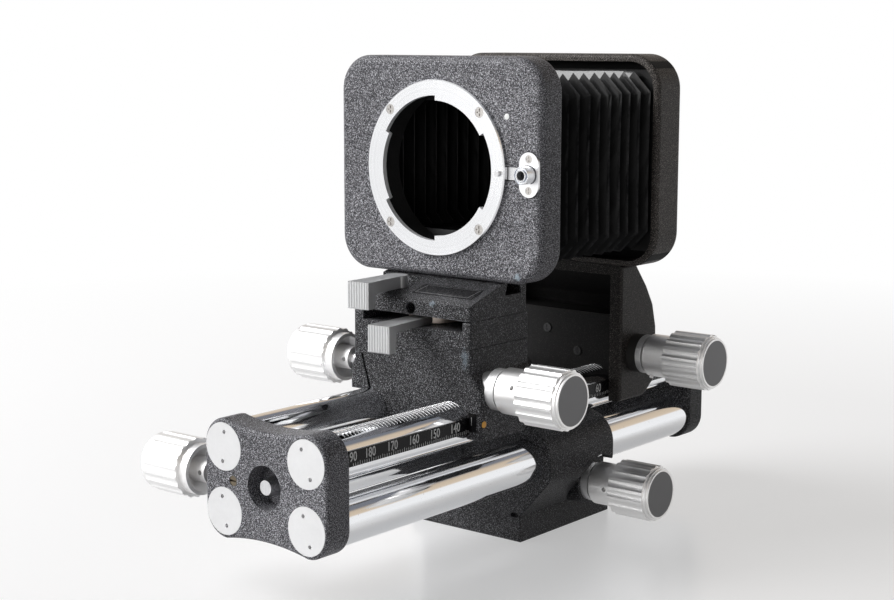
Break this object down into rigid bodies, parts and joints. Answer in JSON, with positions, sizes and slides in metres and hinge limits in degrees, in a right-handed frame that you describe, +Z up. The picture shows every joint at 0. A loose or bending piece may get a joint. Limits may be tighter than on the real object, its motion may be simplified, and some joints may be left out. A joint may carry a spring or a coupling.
{
  "type": "macro bellows unit",
  "caption": "Macro bellows on a tube rail, with a swinging and shifting lens panel, rack-driven carriages, lock knobs and a tripod block.",
  "frame": {"origin": "mouth of the tripod socket, in the underside of the tripod block's foot", "axes": "+Z up, +Y along the rail from the lens end to the camera end, +X to the right seen from the lens end"},
  "size_m": [0.1162, 0.2144, 0.1662],
  "materials": {
    "crinkle_black": "black crinkle paint on cast aluminium",
    "chrome_tube": "bright chrome plate",
    "satin_white_metal": "fine satin",
    "satin_aluminium": "turned satin",
    "dark_cap": "dark anodised",
    "grey_lever": "grey anodised",
    "satin_chrome": "satin chrome plate",
    "steel": "bright turned",
    "plated_brass": "nickel plated",
    "brass": "turned",
    "black_plate": "black satin",
    "bellows_cloth": "black laminated cloth",
    "black_frame": "matt black"
  },
  "bodies": {
    "tripod_block": {"tripod_block": "crinkle_black", "tripod_bush": "plated_brass", "focus_bearing_bush": "plated_brass", "focus_clamp_pad": "brass"},
    "rail": {"front_end_plate": "crinkle_black", "rear_end_plate": "crinkle_black", "upper_left_tube": "chrome_tube", "upper_right_tube": "chrome_tube", "lower_left_tube": "chrome_tube", "lower_right_tube": "chrome_tube", "scale_strip": "black_plate", "tube_end_caps": "satin_white_metal", "centre_pin": "steel", "end_plate_set_screw": "steel"},
    "accessory_lock": {"accessory_lock_knob": "satin_aluminium", "accessory_lock_screw": "steel"},
    "focus_drive": {"focus_pinion_shaft": "steel", "focus_drive_knob": "satin_aluminium", "focus_knob_cap": "dark_cap"},
    "focus_lock": {"focus_lock_knob": "satin_aluminium", "focus_lock_screw": "steel"},
    "front_carriage": {"front_carriage": "crinkle_black", "index_pointer": "black_plate", "front_bearing_bush": "plated_brass"},
    "front_drive": {"front_pinion_shaft": "steel", "front_drive_knob": "satin_aluminium", "front_knob_cap": "dark_cap"},
    "front_lock": {"front_lock_knob": "satin_aluminium", "front_lock_screw": "steel"},
    "swing_lock": {"swing_lock_hub": "steel", "swing_lock_lever": "grey_lever"},
    "swing_head": {"swing_head": "crinkle_black", "nameplate": "black_plate", "swing_pivot": "steel"},
    "shift_lock": {"shift_lock_lever": "grey_lever"},
    "front_panel": {"front_panel": "crinkle_black", "lens_ring": "satin_chrome", "lens_ring_screws": "steel", "lens_ring_spring": "steel", "release_plate": "satin_chrome", "release_plate_screws": "steel", "release_spring": "steel", "bellows_front_frame": "black_frame", "bellows": "bellows_cloth"},
    "lens_release": {"release_button": "steel", "lock_pin_leaf": "steel"},
    "rear_carriage": {"rear_carriage": "crinkle_black", "rear_web_screws": "steel", "rear_frame": "crinkle_black", "rear_bearing_bush": "plated_brass", "bellows_rear_frame": "black_frame"},
    "rear_drive": {"rear_pinion_shaft": "steel", "rear_drive_knob": "satin_aluminium", "rear_knob_cap": "dark_cap"},
    "rear_lock": {"rear_lock_knob": "satin_aluminium", "rear_lock_screw": "steel"},
    "camera_mount": {"camera_mount_ring": "satin_chrome", "camera_mount_screws": "steel"},
    "camera_release": {"camera_release_button": "steel"}
  },
  "joints": [
    {"name": "focus_slide", "type": "slide", "parent": "tripod_block", "child": "rail", "axis": [0, 1, 0], "range_m": [-0.053, 0.095]},
    {"name": "front_slide", "type": "slide", "parent": "rail", "child": "front_carriage", "axis": [0, 1, 0], "range_m": [-0.055, 0.022], "deforming": ["bellows"]},
    {"name": "rear_slide", "type": "slide", "parent": "rail", "child": "rear_carriage", "axis": [0, 1, 0], "range_m": [-0.011, 0.03], "deforming": ["bellows"]},
    {"name": "swing", "type": "hinge", "parent": "front_carriage", "child": "swing_head", "pos_m": [0, -0.053, 0.083], "axis": [0, 0, 1], "range_deg": [-25, 25], "deforming": ["bellows"]},
    {"name": "shift", "type": "slide", "parent": "swing_head", "child": "front_panel", "axis": [1, 0, 0], "range_m": [-0.01, 0.01], "deforming": ["bellows"]},
    {"name": "swing_lock_turn", "type": "hinge", "parent": "front_carriage", "child": "swing_lock", "pos_m": [0, -0.053, 0.081], "axis": [0, 0, 1], "range_deg": [-30, 20]},
    {"name": "shift_lock_turn", "type": "hinge", "parent": "swing_head", "child": "shift_lock", "pos_m": [-0.0115, -0.06, 0.092], "axis": [0, 0, 1], "range_deg": [-20, 12]},
    {"name": "lens_release_push", "type": "slide", "parent": "front_panel", "child": "lens_release", "axis": [0, 1, 0], "range_m": [0, 0.0018], "stiffness_N_per_m": 400, "springref_m": -0.002, "deforming": ["release_spring"]},
    {"name": "front_drive_turn", "type": "hinge", "parent": "front_carriage", "child": "front_drive", "pos_m": [0.036, -0.0585, 0.06106], "axis": [1, 0, 0], "range_deg": [-256.1, 634.3]},
    {"name": "rear_drive_turn", "type": "hinge", "parent": "rear_carriage", "child": "rear_drive", "pos_m": [0.036, 0.023, 0.06106], "axis": [1, 0, 0], "range_deg": [-347.8, 130.1]},
    {"name": "focus_drive_turn", "type": "hinge", "parent": "tripod_block", "child": "focus_drive", "pos_m": [0.03, 0.0046, 0.01694], "axis": [1, 0, 0], "range_deg": [-1092.6, 611.3]},
    {"name": "front_lock_turn", "type": "hinge", "parent": "front_carriage", "child": "front_lock", "pos_m": [-0.035, -0.062, 0.0645], "axis": [1, 0, 0], "range_deg": [0, 180]},
    {"name": "rear_lock_turn", "type": "hinge", "parent": "rear_carriage", "child": "rear_lock", "pos_m": [-0.035, 0.023, 0.0645], "axis": [1, 0, 0], "range_deg": [0, 180]},
    {"name": "focus_lock_turn", "type": "hinge", "parent": "tripod_block", "child": "focus_lock", "pos_m": [-0.035, 0.0046, 0.02894], "axis": [1, 0, 0], "range_deg": [0, 180]},
    {"name": "accessory_lock_turn", "type": "hinge", "parent": "rail", "child": "accessory_lock", "pos_m": [-0.035, -0.12818, 0.0386], "axis": [1, 0, 0], "range_deg": [0, 180]},
    {"name": "camera_turn", "type": "hinge", "parent": "rear_carriage", "child": "camera_mount", "pos_m": [0, 0.026, 0.1295], "axis": [0, 1, 0], "range_deg": [0, 90]},
    {"name": "camera_release_push", "type": "slide", "parent": "rear_carriage", "child": "camera_release", "axis": [0, -1, 0], "range_m": [0, 0.0015], "stiffness_N_per_m": 400, "springref_m": -0.002}
  ],
  "couplings": [
    {"joint": "front_drive_turn", "follows": "front_slide", "rad_per_m": -200},
    {"joint": "rear_drive_turn", "follows": "rear_slide", "rad_per_m": -200},
    {"joint": "focus_drive_turn", "follows": "focus_slide", "rad_per_m": -200}
  ]
}
